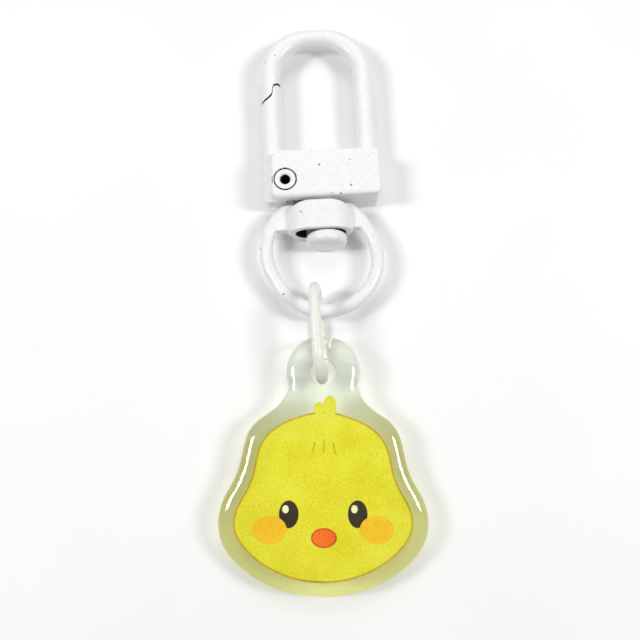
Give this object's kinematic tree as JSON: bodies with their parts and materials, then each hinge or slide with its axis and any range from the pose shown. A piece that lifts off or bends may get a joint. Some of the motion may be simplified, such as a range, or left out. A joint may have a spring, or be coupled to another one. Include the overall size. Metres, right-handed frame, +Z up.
{
  "type": "keychain",
  "caption": "Keychain: a spring-gate swivel clasp, a jump ring and a domed clear acrylic charm printed with a plain yellow chick's head.",
  "frame": {"origin": "centre of the base block's back face, on the surface the keychain lies on", "axes": "+Y along the clasp towards the hoop, +Z up out of the printed side, +X to the right seen from the printed side"},
  "size_m": [0.0321, 0.0946, 0.01],
  "materials": {
    "powder_coat": "white powder coat, gloss",
    "link_coat": "white enamel, gloss",
    "spring_steel": "bright drawn wire",
    "clear_acrylic": "clear cast sheet, laser-cut edge",
    "clear_resin": "clear domed resin",
    "white_ink": "printed ink",
    "yellow_ink": "printed ink, fine grain",
    "gold_ink": "printed ink",
    "cheek_ink": "printed ink",
    "dark_ink": "printed ink",
    "beak_ink": "printed ink",
    "beak_edge_ink": "printed ink"
  },
  "bodies": {
    "hook": {"hook_body": "powder_coat", "gate_rivet": "powder_coat", "gate_spring": "spring_steel", "swivel_pin": "powder_coat"},
    "gate": {"gate": "powder_coat"},
    "swivel": {"swivel_ring": "powder_coat"},
    "link": {"jump_ring": "link_coat"},
    "charm": {"charm_sheet": "clear_acrylic", "charm_dome": "clear_resin", "print_base": "white_ink", "print_head": "yellow_ink", "print_edge": "gold_ink", "print_cheeks": "cheek_ink", "print_eyes": "dark_ink", "print_glints": "white_ink", "print_beak": "beak_ink", "print_beak_edge": "beak_edge_ink", "print_strokes": "gold_ink"}
  },
  "joints": [
    {"name": "gate_hinge", "type": "hinge", "parent": "hook", "child": "gate", "pos_m": [-0.00603, -0.0012, 0.0034], "axis": [0, 0, -1], "range_deg": [0, 27], "stiffness_Nm_per_rad": 0.003, "springref_deg": -17.19},
    {"name": "swivel_turn", "type": "hinge", "parent": "hook", "child": "swivel", "pos_m": [0.00036, -0.006, 0.0034], "axis": [0, 1, 0], "continuous": true},
    {"name": "link_swing", "type": "hinge", "parent": "swivel", "child": "link", "pos_m": [-0.0018, -0.0228, 0.0034], "axis": [1, 0, 0], "range_deg": [-95, 95]},
    {"name": "charm_swing", "type": "hinge", "parent": "link", "child": "charm", "pos_m": [-0.0013, -0.033, 0.0041], "axis": [0, -0.0576, 0.9983], "range_deg": [-60, 60]}
  ]
}
